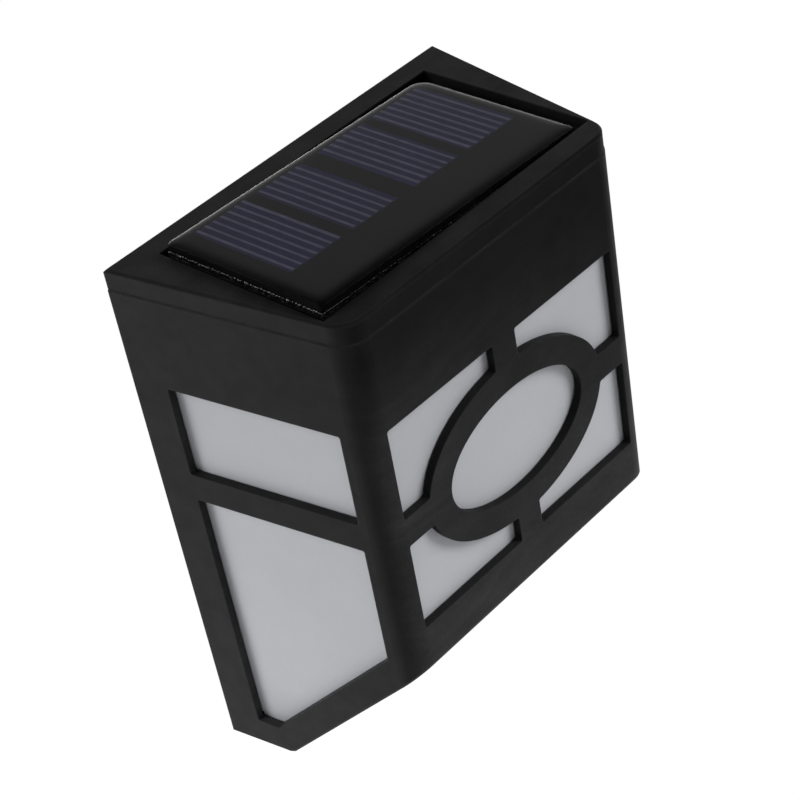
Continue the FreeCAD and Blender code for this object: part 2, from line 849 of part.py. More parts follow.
def make_switch_case():
    """The folded steel case of the switch, open at its inner end, with two ears."""
    half = V(switch_length / 2, 0, switch_height / 2)
    back = V(0, switch_depth, 0)
    shell = box(-half - back, half)
    room = half - V(switch_sheet, 0, switch_sheet)
    inside = box(-room - back, room - V(0, switch_sheet, 0))
    ears = box(V(-ear_reach, -switch_sheet, -ear_height / 2), V(ear_reach, 0, ear_height / 2))
    shell = shell.fuse(ears).cut(inside).translated(V(switch_side, switch_face, switch_level))
    for place in stake_places():
        shell = shell.cut(rod(stake_radius + stake_fit, place, place - V(0, switch_sheet, 0)))
    return shell.cut(lever_slot(switch_face - 2 * switch_sheet)).removeSplitter()


def terminal_blocks():
    """The three terminals of the switch."""
    half = V(terminal_thickness / 2, 0, terminal_width / 2)
    inner = V(switch_side, switch_face - switch_depth + base_thickness, switch_level)
    blocks = []
    for count in (-1, 0, 1):
        middle = inner + V(count * terminal_pitch, 0, 0)
        blocks.append(box(middle - half - V(0, base_thickness + terminal_length, 0), middle + half))
    return blocks


def make_switch_base():
    """The insulating plate that closes the switch and holds its terminals."""
    half = V(switch_length / 2 - switch_sheet - base_fit, 0, switch_height / 2 - switch_sheet - base_fit)
    outer = V(switch_side, switch_face - switch_depth, switch_level)
    base = box(outer - half, outer + half + V(0, base_thickness, 0))
    for terminal in terminal_blocks():
        base = base.cut(terminal)
    return base


def make_switch_terminals():
    """The terminals as one group."""
    return Part.makeCompound(terminal_blocks())


def make_switch_slider():
    """The slider at the left end of its travel: a block inside the switch and the lever in the recess."""
    outer = V(0, switch_face - switch_sheet - slider_fit, 0)
    inner = V(0, switch_face - switch_depth + base_thickness + slider_fit, 0)
    half = V(slider_length / 2, 0, slider_height / 2)
    block = box(inner - half, outer + half)
    half = V(lever_width / 2, 0, lever_height / 2)
    lever = box(outer - half, half - V(0, lever_set_back, 0))
    tip = [e for e in lever.Edges if e.BoundBox.YMin > -lever_set_back - parallel_slack]
    lever = lever.makeChamfer(lever_bevel, tip)
    return block.fuse(lever).removeSplitter().translated(V(switch_side - switch_travel / 2, 0, switch_level))


def make_parts():
    """Every piece by name, in the frame that heights and depths are counted in."""
    left, right = led_places()
    red, black = wire_spacing / 2, -wire_spacing / 2
    return {
        "housing": make_housing(),
        "top_lid": make_top_lid(),
        "diffuser": make_diffuser(),
        "back_cover": make_back_cover(),
        "cover_screws": make_cover_screws(),
        "solar_board": make_solar_board(),
        "solar_cells": make_solar_cells(),
        "panel_resin": make_panel_resin(),
        "panel_adhesive": make_panel_adhesive(),
        "panel_wire_red": panel_wire(red),
        "panel_wire_black": panel_wire(black),
        "inner_tray": make_inner_tray(),
        "tray_screws": make_tray_screws(),
        "circuit_board": make_circuit_board(),
        "board_screws": make_board_screws(),
        "led_left": make_led(left),
        "led_right": make_led(right),
        "led_leads": Part.makeCompound(legs(led_feet(), 0)),
        "driver_chip": make_driver_chip(),
        "chip_leads": Part.makeCompound(legs(chip_feet(), 0)),
        "choke": make_choke(),
        "choke_leads": make_choke_leads(),
        "battery_cell": make_battery_cell(),
        "contact_plate": make_contact_plate(),
        "contact_spring": make_contact_spring(),
        "battery_wire_red": battery_wire(1),
        "battery_wire_black": battery_wire(-1),
        "switch_case": make_switch_case(),
        "switch_base": make_switch_base(),
        "switch_terminals": make_switch_terminals(),
        "switch_slider": make_switch_slider(),
        "switch_wire_in": switch_wire(0, 0),
        "switch_wire_out": switch_wire(1, 1),
    }


def main():
    """Writes every piece to its own file, with the origin at the middle of the back of the light."""
    os.makedirs("parts", exist_ok=True)
    for name, shape in make_parts().items():
        placed = shape.translated(V(0, 0, -height / 2))
        placed.exportStep("parts/" + name + ".step")
        solids = placed.Solids
        print(name, len(solids), round(sum(solid.Volume for solid in solids), 2), placed.isValid())


main()
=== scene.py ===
import json
import math
import random

import bpy
import numpy as np
from mathutils import Matrix, Vector


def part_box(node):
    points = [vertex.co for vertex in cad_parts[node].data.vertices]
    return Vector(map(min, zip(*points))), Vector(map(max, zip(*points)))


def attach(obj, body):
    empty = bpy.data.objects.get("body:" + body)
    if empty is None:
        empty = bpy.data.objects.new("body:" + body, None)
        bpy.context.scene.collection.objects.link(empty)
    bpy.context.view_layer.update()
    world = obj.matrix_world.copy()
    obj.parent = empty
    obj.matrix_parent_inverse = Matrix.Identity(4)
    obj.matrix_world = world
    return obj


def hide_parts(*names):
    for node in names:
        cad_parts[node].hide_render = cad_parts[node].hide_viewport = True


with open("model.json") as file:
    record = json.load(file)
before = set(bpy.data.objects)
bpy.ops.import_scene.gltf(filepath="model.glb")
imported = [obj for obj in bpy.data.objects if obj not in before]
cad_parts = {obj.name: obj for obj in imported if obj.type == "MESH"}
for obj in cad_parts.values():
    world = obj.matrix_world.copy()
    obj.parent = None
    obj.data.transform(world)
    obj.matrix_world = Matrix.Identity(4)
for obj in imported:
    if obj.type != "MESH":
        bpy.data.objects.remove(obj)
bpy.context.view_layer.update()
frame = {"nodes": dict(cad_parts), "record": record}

MM = 0.001

# The resin over the cells, in millimetres: its outline, and how high it stands that far in from there. A
# corner's radius grows by corner_growth of the way in.
resin_margin = 0.03
cast_corner = 3.2
snapped_corner = 1.0
corner_growth = 0.5
resin_side = ((0, 0), (0, 1.1), (0.02, 1.22))
resin_crown = ((0.07, 1.315), (0.13, 1.375), (0.2, 1.42), (0.35, 1.48), (0.6, 1.566), (0.85, 1.635),
               (1.1, 1.69), (1.4, 1.743), (1.7, 1.783), (2.2, 1.823), (3.0, 1.846), (5.0, 1.85))

# The cell strips as they are seen through the resin, in millimetres: where each begins and ends along the
# panel, and the first and last of its printed fingers.
strip_spans = ((-29.4, -16.1), (-13.4, -1.1), (3.4, 16.0), (18.5, 32.4))
finger_spans = ((-28.5, -16.9), (-12.5, -2.7), (4.9, 14.7), (19.4, 31.1))
finger_pitch = 1.95
finger_width = 0.75
finger_height = 0.03
front_trim = 0.6

# How far a finger's two ends may stray, in millimetres, its width as a share of the plain one, and the
# share of its width by which its upper edges are drawn in.
finger_start = (0.0, 0.4)
finger_end = (-0.1, 0.2)
finger_share = (0.85, 1.15)
finger_draw_in = 0.15

# The crumbs along the board's snapped left end and its front edge, in millimetres: their size, and the mean
# and spread of how high they sit. The gaps between them are multiples of their size.
end_crumbs = (0.05, 0.16)
end_gaps = (1.6, 5.5)
end_level = (-0.06, 0.05)
end_margin = 0.4
end_stand_off = 0.03
front_crumbs = (0.03, 0.09)
front_gaps = (2.0, 6.0)
front_level = (-0.08, 0.05)
front_stand_off = 0.02
front_thinning = 3

# How far a crumb's points stand out, and how far they stray sideways, as shares of its size.
grain_reach = (0.6, 1.4)
grain_stray = (-0.3, 0.3)

# The lip at the joint of lid and case, in millimetres in from the case's side and up from the joint.
joint_profile = ((0.004, -0.01), (0.03, 0.07), (0.08, 0.18), (0.13, 0.3), (0.2, 0.42))
mitre_limit = 0.5

# The camera, as solved from the edges of the case.
camera_azimuth = -41.54
camera_elevation = 37.105
camera_roll = -10.9
camera_distance = 0.43
camera_aim = Vector((0.00265, -0.01816, 0.00471))
camera_lens = 95.765
camera_film = 36.0
camera_near = 0.01

# The floor: its height and reach in metres, its own tone, how much of it glows for the camera, in gloss and
# through glass, and how strongly. In gloss the glow grows from the front to mirrored_depth metres behind.
floor_level = -0.36
floor_reach = 9.0
floor_tone = 0.86
white_share = 0.9
white_level = 1.06
mirrored_front = 0.62
mirrored_back = 2.0
mirrored_depth = 0.8

# The studio's brightness at a height above the horizon, where 1 is straight up.
sky_levels = ((0.0, 0.9), (0.12, 0.62), (0.25, 0.34), (0.45, 0.23), (0.6, 0.18), (0.72, 0.08),
              (0.82, 0.015))

# The two lamps: where each stands, in metres, and its power, in watts.
lamp_size = 1.0
lamps = {"lamp_left": ((-1.44, 0.84, 1.1), 24.0), "lamp_right": ((1.0, -1.28, 1.16), 25.0)}


class Finish:
    """A node material that is put together step by step."""

    def __init__(self, name):
        self.material = bpy.data.materials.new(name)
        self.material.use_nodes = True
        self.tree = self.material.node_tree
        self.tree.nodes.clear()
        self.place = self.add("ShaderNodeTexCoord").outputs["Object"]

    def add(self, kind, inputs=None, **settings):
        """Adds a node. An input is a number, a colour or the socket of another node."""
        made = self.tree.nodes.new(kind)
        for name, value in settings.items():
            setattr(made, name, value)
        for key, value in (inputs or {}).items():
            if isinstance(value, bpy.types.NodeSocket):
                self.tree.links.new(value, made.inputs[key])
            else:
                made.inputs[key].default_value = value
        return made

    def stretched(self, stretch, turn=(0, 0, 0)):
        """The place on the object, turned and then stretched along its axes."""
        inputs = {"Vector": self.place, "Scale": stretch, "Rotation": turn}
        return self.add("ShaderNodeMapping", inputs).outputs[0]

    def noise(self, scale, detail=2.0, roughness=0.5, stretch=(1, 1, 1), turn=(0, 0, 0), bend=0.0):
        """Smooth noise from 0 to 1 with that many features per metre."""
        inputs = {"Vector": self.stretched(stretch, turn), "Scale": scale, "Detail": detail}
        inputs.update({"Roughness": roughness, "Distortion": bend})
        return self.add("ShaderNodeTexNoise", inputs).outputs[0]

    def cells(self, scale, stretch=(1, 1, 1)):
        """The distance to the nearest of many scattered points."""
        inputs = {"Vector": self.stretched(stretch), "Scale": scale}
        return self.add("ShaderNodeTexVoronoi", inputs).outputs["Distance"]

    def bands(self, scale, turn=(0, 0, 0), bend=0.0):
        """Parallel stripes along the turned X axis, that many waves per metre."""
        inputs = {"Vector": self.stretched((1, 1, 1), turn), "Scale": scale, "Distortion": bend}
        return self.add("ShaderNodeTexWave", inputs).outputs[1]

    def spread(self, value, low, high, to_low, to_high):
        """Maps a range of values to another one, and clips it there."""
        inputs = {"Value": value, "From Min": low, "From Max": high, "To Min": to_low, "To Max": to_high}
        return self.add("ShaderNodeMapRange", inputs).outputs[0]

    def maths(self, operation, first, second=0.0):
        """One step of arithmetic."""
        return self.add("ShaderNodeMath", {0: first, 1: second}, operation=operation).outputs[0]

    def product(self, *values):
        """Numbers multiplied together."""
        total = values[0]
        for value in values[1:]:
            total = self.maths("MULTIPLY", total, value)
        return total

    def along(self, axis):
        """The place along X, Y or Z."""
        return self.add("ShaderNodeSeparateXYZ", {0: self.place}).outputs[axis]

    def blend(self, amount, first, second):
        """A number between two numbers."""
        return self.add("ShaderNodeMix", {0: amount, 2: first, 3: second}).outputs[0]

    def colour(self, amount, first, second):
        """A colour between two colours."""
        inputs = {0: amount, 6: first, 7: second}
        return self.add("ShaderNodeMix", inputs, data_type="RGBA").outputs[2]

    def scaled(self, amount, colour):
        """A colour times a number, which may be more than 1."""
        inputs = {0: amount, 6: (0, 0, 0, 1), 7: colour}
        return self.add("ShaderNodeMix", inputs, data_type="RGBA", clamp_factor=False).outputs[2]

    def soft_edges(self, radius):
        """The surface's normal, rounded over at its edges."""
        return self.add("ShaderNodeBevel", {"Radius": radius}, samples=4).outputs[0]

    def edge_nearness(self, radius, gain):
        """How near the surface is to a sharp edge, from 0 to 1."""
        normal = self.add("ShaderNodeNewGeometry").outputs["Normal"]
        inputs = {0: self.soft_edges(radius), 1: normal}
        same = self.add("ShaderNodeVectorMath", inputs, operation="DOT_PRODUCT").outputs["Value"]
        return self.spread(same, 1.0, 1.0 - 1.0 / gain, 0.0, 1.0)

    def bump(self, height, distance, strength=1.0, normal=None):
        """The normal of a surface with small hills of that height in metres."""
        inputs = {"Height": height, "Distance": distance, "Strength": strength}
        if normal is not None:
            inputs["Normal"] = normal
        return self.add("ShaderNodeBump", inputs).outputs[0]

    def shader(self, colour, roughness, normal, **numbers):
        """The surface shader; the numbers are plain values of its own sockets."""
        inputs = {"Base Color": colour, "Roughness": roughness}
        if normal is not None:
            inputs["Normal"] = normal
        for key, value in numbers.items():
            inputs[key.replace("_", " ")] = value
        return self.add("ShaderNodeBsdfPrincipled", inputs).outputs[0]

    def done(self, shader):
        """Ends the material with a shader."""
        self.add("ShaderNodeOutputMaterial", {"Surface": shader})
        return self.material


def grey(value, blue=0.0):
    """A grey, a little bluer where that is asked for."""
    return (value, value, value * (1 + blue), 1)


def black_case():
    """Satin black ABS: fine grain, cloudy flow marks, worn edges with a painted highlight, dust and painted
    sheen on top faces, painted light and shade on the front, and a painted reflection paling the foot.
    """
    f = Finish("black_case")
    clouds = f.spread(f.noise(38, 3, 0.55, (1, 1, 1.4), (0, 0.6, 0), 1.2), 0.3, 0.7, 0.82, 1.16)
    smoke = f.spread(f.noise(85, 4, 0.6, (0.45, 1, 1.6), (0, -0.7, 0), 2.2), 0.35, 0.65, 0.88, 1.12)
    fine = f.spread(f.noise(1500, 2), 0.3, 0.7, 0.9, 1.1)
    facing = f.add("ShaderNodeSeparateXYZ", {0: f.add("ShaderNodeNewGeometry").outputs["Normal"]}).outputs
    # Painted light and shade: the front face's upper band is painted paler to the left and darker to the
    # right.
    front = f.spread(facing[1], -0.55, -0.9, 0.0, 1.0)
    band = f.spread(f.along(2), 0.0, 0.035, 0.0, 1.0)
    painted_front_shade = f.blend(f.product(front, band), 1.0, f.spread(f.along(0), -0.042, 0.042, 2.7, 0.1))
    # Painted reflection: the sides and still more the front grow paler downwards.
    side_painted_reflection = f.spread(f.along(2), 0.0, -0.06, 1.0, 2.2)
    front_painted_reflection = f.spread(f.along(2), 0.05, -0.05, 0.3, 5.2)
    level = f.product(clouds, smoke, fine, painted_front_shade, f.blend(front, side_painted_reflection, front_painted_reflection))
    # Up-facing faces are paler, partly with dust and partly with a painted sheen that is weaker towards the
    # front edge.
    upward = f.spread(facing[2], 0.6, 0.95, 0.0, 1.0)
    dust_and_sheen = f.product(upward, f.spread(f.along(1), -0.052, -0.04, 0.7, 1.2))
    base = f.scaled(level, f.colour(dust_and_sheen, (0.0078, 0.0078, 0.0082, 1), (0.0175, 0.0175, 0.0180, 1)))
    # Edges are paler, partly with wear and partly with a painted highlight along them.
    base = f.colour(f.product(f.edge_nearness(0.0007, 9), 0.5), base, grey(0.026, 0.04))
    normal = f.bump(f.noise(120, 2, 0.5), 0.00012, 0.35, f.soft_edges(0.0004))
    normal = f.bump(f.noise(2600, 2, 0.6), 0.00002, 0.55, normal)
    roughness = f.spread(f.noise(240, 3), 0.3, 0.7, 0.4, 0.5)
    return f.done(f.shader(base, roughness, normal, Specular_IOR_Level=0.06))


def joint_lip():
    """The lip of the lid's joint: the case's black made paler as a painted highlight, a little less so
    along the front, with random scuffs.
    """
    f = Finish("joint_lip")
    front = f.spread(f.along(1), -0.046, -0.049, 0.0, 1.0)
    scuffs = f.spread(f.noise(300, 3, 0.6), 0.3, 0.7, 0.7, 1.3)
    # Painted highlight: the lip is paler than the case, a little less so along the front.
    base = f.scaled(scuffs, f.colour(front, (0.0150, 0.0150, 0.0155, 1), (0.0135, 0.0135, 0.0140, 1)))
    normal = f.bump(f.noise(2600, 2, 0.6), 0.00002, 0.5)
    return f.done(f.shader(base, f.spread(scuffs, 0.7, 1.3, 0.42, 0.5), normal, Specular_IOR_Level=0.06))


def frosted_insert():
    """Milky polystyrene with a frosted skin, with painted light and shade that pales it low down and greys
    it towards its top, and a painted shadow at its very foot.
    """
    f = Finish("frosted_insert")
    # Painted light and shade: paler low down and greyer towards the top.
    fall = f.spread(f.along(2), -0.045, 0.036, 1.1, 0.9)
    # Painted shadow: darker at its very foot.
    foot = f.spread(f.along(2), -0.056, -0.042, 0.78, 1.0)
    milk = f.spread(f.noise(46, 3, 0.5), 0.3, 0.7, 0.975, 1.02)
    grain = f.spread(f.noise(1900, 2), 0.3, 0.7, 0.985, 1.015)
    base = f.scaled(f.product(fall, foot, milk, grain), (0.515, 0.525, 0.553, 1))
    normal = f.bump(f.noise(2300, 2, 0.6), 0.00002, 0.5)
    roughness = f.spread(f.noise(700, 2), 0.3, 0.7, 0.5, 0.6)
    return f.done(f.shader(base, roughness, normal, Specular_IOR_Level=0.3))


def cover_plastic():
    """The back cover's black ABS, with the coarser texture of a spark-eroded mould."""
    f = Finish("cover_plastic")
    level = f.spread(f.noise(60, 3, 0.6), 0.3, 0.7, 0.85, 1.15)
    wear = f.edge_nearness(0.0006, 5)
    base = f.scaled(level, (0.0092, 0.0092, 0.0098, 1))
    base = f.colour(f.product(wear, 0.35), base, grey(0.025))
    pits = f.spread(f.cells(1300), 0.1, 0.6, 0.0, 1.0)
    normal = f.bump(pits, 0.00004, 0.6, f.soft_edges(0.0003))
    roughness = f.spread(pits, 0.0, 1.0, 0.62, 0.5)
    return f.done(f.shader(base, roughness, normal, Specular_IOR_Level=0.25))


def metal(name, tone, dull, polish, grain, scratch_turn=(0, 0, 0)):
    """Plated metal: fine scratches, blotches of a duller tone, and softened edges."""
    f = Finish(name)
    blotch = f.spread(f.noise(520, 3, 0.6), 0.35, 0.65, 0.0, 1.0)
    scratches = f.noise(grain, 2, 0.7, (1, 9, 1), scratch_turn)
    base = f.colour(f.product(blotch, 0.6), tone, dull)
    rough = f.spread(f.maths("ADD", blotch, scratches), 0.3, 1.5, polish, polish + 0.2)
    normal = f.bump(scratches, 0.00001, 0.4, f.soft_edges(0.00015))
    return f.done(f.shader(base, rough, normal, Metallic=1.0))


def moulding(name, tone, spot, roughness, grain_scale, depth, specular=0.35):
    """A moulded plastic or lacquer: mottled tone, small specks and a fine grain."""
    f = Finish(name)
    mottle = f.spread(f.noise(170, 3, 0.55), 0.3, 0.7, 0.9, 1.08)
    specks = f.spread(f.cells(900), 0.0, 0.16, 1.0, 0.0)
    base = f.scaled(mottle, tone)
    base = f.colour(f.product(specks, 0.5), base, spot)
    rough = f.spread(f.noise(420, 3), 0.3, 0.7, roughness - 0.05, roughness + 0.07)
    normal = f.bump(f.noise(grain_scale, 2, 0.6), depth, 0.6, f.soft_edges(0.0002))
    return f.done(f.shader(base, rough, normal, Specular_IOR_Level=specular))


def insulation(name, tone):
    """Soft wire insulation with faint upright lines and chalky scuffs."""
    f = Finish(name)
    lines = f.noise(1600, 2, 0.5, (1, 1, 0.06))
    scuffs = f.spread(f.noise(650, 3, 0.6), 0.55, 0.75, 0.0, 0.35)
    base = f.scaled(f.spread(lines, 0.3, 0.7, 0.88, 1.1), tone)
    base = f.colour(scuffs, base, (0.4 + tone[0] / 2, 0.4, 0.4, 1))
    rough = f.spread(scuffs, 0.0, 0.35, 0.34, 0.6)
    return f.done(f.shader(base, rough, f.bump(lines, 0.00002, 0.5), Specular_IOR_Level=0.4))


def panel_board():
    """Black laminate: cloudy and very dark, with pale fibre ends in its snapped sides."""
    f = Finish("panel_board")
    clouds = f.spread(f.noise(90, 3, 0.5), 0.3, 0.7, 0.75, 1.3)
    base = f.scaled(clouds, (0.0016, 0.0016, 0.0017, 1))
    facing = f.add("ShaderNodeNewGeometry").outputs["Normal"]
    level = f.add("ShaderNodeSeparateXYZ", {0: facing}).outputs[2]
    side = f.spread(f.maths("ABSOLUTE", level), 0.5, 0.2, 0.0, 1.0)
    fibres = f.spread(f.noise(1500, 3, 0.7, (1, 1, 2.5)), 0.56, 0.66, 0.0, 1.0)
    base = f.colour(f.product(side, fibres, 0.3), base, grey(0.16))
    normal = f.bump(f.product(side, fibres), 0.00008, 0.5)
    roughness = f.spread(fibres, 0.0, 1.0, 0.5, 0.8)
    return f.done(f.shader(base, roughness, normal, Specular_IOR_Level=0.02))


def silicon_cell():
    """Dark blue amorphous cells whose blue shifts a little from end to end."""
    f = Finish("silicon_cell")
    drift = f.spread(f.noise(75, 3, 0.5, (1, 2.2, 1)), 0.3, 0.7, 0.0, 1.0)
    base = f.colour(drift, (0.0052, 0.0050, 0.0185, 1), (0.0068, 0.0064, 0.0240, 1))
    grains = f.spread(f.cells(1100, (1, 1.6, 1)), 0.0, 0.7, 0.82, 1.12)
    base = f.scaled(grains, base)
    roughness = f.spread(grains, 0.8, 1.2, 0.3, 0.42)
    return f.done(f.shader(base, roughness, f.bump(grains, 0.00001, 0.4), Specular_IOR_Level=0.04))


def finger_print():
    """Printed silver fingers, thin and slightly uneven, so that some stretches are brighter."""
    f = Finish("finger_print")
    uneven = f.spread(f.noise(900, 3, 0.65, (1, 0.35, 1)), 0.35, 0.68, 0.0, 1.0)
    base = f.colour(uneven, (0.027, 0.0265, 0.044, 1), (0.043, 0.042, 0.064, 1))
    roughness = f.spread(uneven, 0.0, 1.0, 0.5, 0.62)
    normal = f.bump(f.noise(4000, 2), 0.00001, 0.5)
    return f.done(f.shader(base, roughness, normal, Specular_IOR_Level=0.04))


def clear_resin():
    """Clear cast resin: glass to the eye and the mirror, open to the light of the lamps."""
    f = Finish("clear_resin")
    swell = f.noise(55, 2, 0.5)
    haze = f.spread(f.noise(260, 3, 0.6), 0.4, 0.75, 0.01, 0.03)
    tint = f.colour(f.spread(swell, 0.3, 0.7, 0.0, 1.0), (0.93, 0.93, 0.95, 1), (0.98, 0.98, 0.99, 1))
    normal = f.bump(swell, 0.00006, 0.5)
    glass = f.shader(tint, haze, normal, Transmission_Weight=1.0, IOR=1.5)
    lit = f.add("ShaderNodeBsdfTransparent", {"Color": (0.95, 0.95, 0.96, 1)}).outputs[0]
    shadow = f.add("ShaderNodeLightPath").outputs["Is Shadow Ray"]
    return f.done(f.add("ShaderNodeMixShader", {0: shadow, 1: glass, 2: lit}).outputs[0])


def snapped_resin():
    """The resin's snapped side, crazed, opaque and as dark as the board behind it: painted shade in place
    of the clear side.
    """
    f = Finish("snapped_resin")
    crazing = f.noise(1200, 3, 0.6, (1, 1, 0.4))
    # Painted shade: the side is nearly black, not clear.
    base = f.colour(f.spread(crazing, 0.35, 0.65, 0.0, 1.0), grey(0.0012), grey(0.0030))
    roughness = f.spread(crazing, 0.3, 0.7, 0.5, 0.7)
    return f.done(f.shader(base, roughness, f.bump(crazing, 0.00004, 0.5), Specular_IOR_Level=0.02))


def adhesive():
    """Black sealant: smooth and lumpy, with a wet gloss in places."""
    f = Finish("adhesive")
    lumps = f.noise(420, 3, 0.6)
    base = f.colour(f.spread(lumps, 0.35, 0.65, 0.0, 1.0), grey(0.0045), grey(0.0100))
    roughness = f.spread(f.noise(300, 2), 0.35, 0.65, 0.12, 0.34)
    return f.done(f.shader(base, roughness, f.bump(lumps, 0.0004, 0.7), Specular_IOR_Level=0.4))


def circuit_laminate():
    """Green solder mask over copper runs, with pale pads."""
    f = Finish("circuit_laminate")
    runs = f.bands(95, (0, 0, 0.8), 2.5)
    copper = f.spread(runs, 0.55, 0.62, 0.0, 1.0)
    base = f.colour(copper, (0.012, 0.085, 0.030, 1), (0.028, 0.150, 0.050, 1))
    pads = f.spread(f.cells(330), 0.16, 0.19, 1.0, 0.0)
    base = f.colour(f.product(pads, 0.8), base, (0.52, 0.50, 0.44, 1))
    roughness = f.spread(pads, 0.0, 1.0, 0.28, 0.4)
    return f.done(f.shader(base, roughness, f.bump(copper, 0.00003, 0.6), Specular_IOR_Level=0.5))


def lamp_epoxy():
    """Water-clear lamp bodies, faintly yellowed and hazy in places."""
    f = Finish("lamp_epoxy")
    haze = f.noise(700, 2)
    tint = f.colour(f.spread(haze, 0.3, 0.7, 0.0, 1.0), (0.86, 0.86, 0.80, 1), (0.95, 0.95, 0.92, 1))
    roughness = f.spread(haze, 0.3, 0.7, 0.08, 0.2)
    return f.done(f.shader(tint, roughness, f.bump(haze, 0.00002, 0.4), Transmission_Weight=0.6, IOR=1.5))


def cell_sleeve():
    """A green sleeve with a pale band, shrunk over the can, whose two metal ends stay bare."""
    f = Finish("cell_sleeve")
    low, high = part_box("battery_cell")
    foot = low.x + 1.2 * MM
    cap = high.x - 2.2 * MM
    pale_from = high.x - 11 * MM
    side = f.along(0)
    bare_left = f.maths("LESS_THAN", side, foot)
    bare_right = f.maths("GREATER_THAN", side, cap)
    bare = f.maths("MAXIMUM", bare_left, bare_right)
    wrap = f.spread(f.noise(300, 3), 0.3, 0.7, 0.9, 1.1)
    band = f.maths("GREATER_THAN", side, pale_from)
    base = f.colour(band, (0.018, 0.190, 0.080, 1), (0.30, 0.30, 0.29, 1))
    base = f.scaled(wrap, base)
    base = f.colour(bare, base, (0.56, 0.55, 0.52, 1))
    wrinkles = f.noise(500, 2, 0.5, (0.3, 1, 1))
    roughness = f.spread(f.noise(240, 2), 0.3, 0.7, 0.22, 0.36)
    return f.done(f.shader(base, roughness, f.bump(wrinkles, 0.00004, 0.5), Metallic=bare))


FINISHES = {
    "black_case": black_case(),
    "frosted_insert": frosted_insert(),
    "cover_plastic": cover_plastic(),
    "zinc_screw": metal("zinc_screw", (0.56, 0.56, 0.55, 1), (0.40, 0.40, 0.37, 1), 0.26, 1500),
    "panel_board": panel_board(),
    "silicon_cell": silicon_cell(),
    "clear_resin": clear_resin(),
    "adhesive": adhesive(),
    "red_insulation": insulation("red_insulation", (0.42, 0.016, 0.014, 1)),
    "black_insulation": insulation("black_insulation", (0.012, 0.012, 0.013, 1)),
    "tray_plastic": moulding("tray_plastic", (0.66, 0.66, 0.63, 1), grey(0.4), 0.42, 1700, 0.00002),
    "circuit_laminate": circuit_laminate(),
    "tinned_metal": metal("tinned_metal", (0.66, 0.66, 0.66, 1), (0.50, 0.50, 0.49, 1), 0.22, 2200),
    "lamp_epoxy": lamp_epoxy(),
    "chip_epoxy": moulding("chip_epoxy", (0.013, 0.013, 0.013, 1), grey(0.05), 0.5, 3800, 0.00003),
    "choke_coat": moulding("choke_coat", (0.05, 0.20, 0.12, 1), (0.02, 0.08, 0.05, 1), 0.24, 900, 0.00004),
    "cell_sleeve": cell_sleeve(),
    "contact_metal": metal("contact_metal", (0.62, 0.60, 0.54, 1), (0.46, 0.43, 0.37, 1), 0.24, 1900,
                           (0, 0, 1.57)),
    "switch_steel": metal("switch_steel", (0.52, 0.52, 0.52, 1), (0.36, 0.36, 0.35, 1), 0.28, 1800,
                          (1.57, 0, 0)),
    "switch_laminate": moulding("switch_laminate", (0.21, 0.10, 0.045, 1), (0.09, 0.04, 0.02, 1), 0.5, 1500,
                                0.00003),
    "lever_plastic": moulding("lever_plastic", (0.014, 0.014, 0.014, 1), grey(0.04), 0.38, 2400, 0.00002),
}


def dress_cad_nodes():
    """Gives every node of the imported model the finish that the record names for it."""
    for part in frame["record"]["subparts"]:
        mesh = frame["nodes"][part["node"]].data
        mesh.materials.clear()
        mesh.materials.append(FINISHES[part["material_slot"]])


def panel_frame():
    """The panel's own axes, from the middle of the board's upper face, and the board's half sizes."""
    corners = [[round(c, 7) for c in v.co] for v in frame["nodes"]["solar_board"].data.vertices]
    corners = np.unique(np.array(corners), axis=0)
    centre = corners.mean(axis=0)
    axes = np.linalg.svd(corners - centre)[2]
    along = Vector(axes[0]) * math.copysign(1, axes[0][0])
    up = Vector(axes[2]) * math.copysign(1, axes[2][2])
    across = up.cross(along)
    half = [np.abs((corners - centre) @ np.array(axis)).max() for axis in (along, across, up)]
    place = Matrix((along, across, up)).transposed().to_4x4()
    place.translation = Vector(centre) + up * half[2]
    return place, half


def add_piece(name, points, faces, finish, replaced=(), smooth=True):
    """Makes a piece of the light from its points in metres, and fixes it to the case."""
    mesh = bpy.data.meshes.new(name)
    mesh.from_pydata([tuple(p) for p in points], [], faces)
    mesh.validate()
    mesh.update()
    mesh.polygons.foreach_set("use_smooth", [smooth] * len(mesh.polygons))
    mesh.materials.append(finish)
    piece = bpy.data.objects.new(name, mesh)
    bpy.context.scene.collection.objects.link(piece)
    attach(piece, "light")
    if replaced:
        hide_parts(*replaced)
    return piece


def rounded_ring(half_along, half_across, radii, level, steps=8):
    """The points round a rectangle whose four corners have their own radii."""
    ring = []
    for corner, radius in enumerate(radii):
        sign_along = (1, -1, -1, 1)[corner]
        sign_across = (1, 1, -1, -1)[corner]
        middle = Vector((sign_along * (half_along - radius), sign_across * (half_across - radius), level))
        for step in range(steps + 1):
            angle = math.pi / 2 * (corner + step / steps)
            ring.append(middle + radius * Vector((math.cos(angle), math.sin(angle), 0)))
    return ring


def quad(row, count, i):
    """The face from one ring of points up to the next, between a point and its neighbour."""
    j = (i + 1) % count
    return row * count + i, row * count + j, (row + 1) * count + j, (row + 1) * count + i


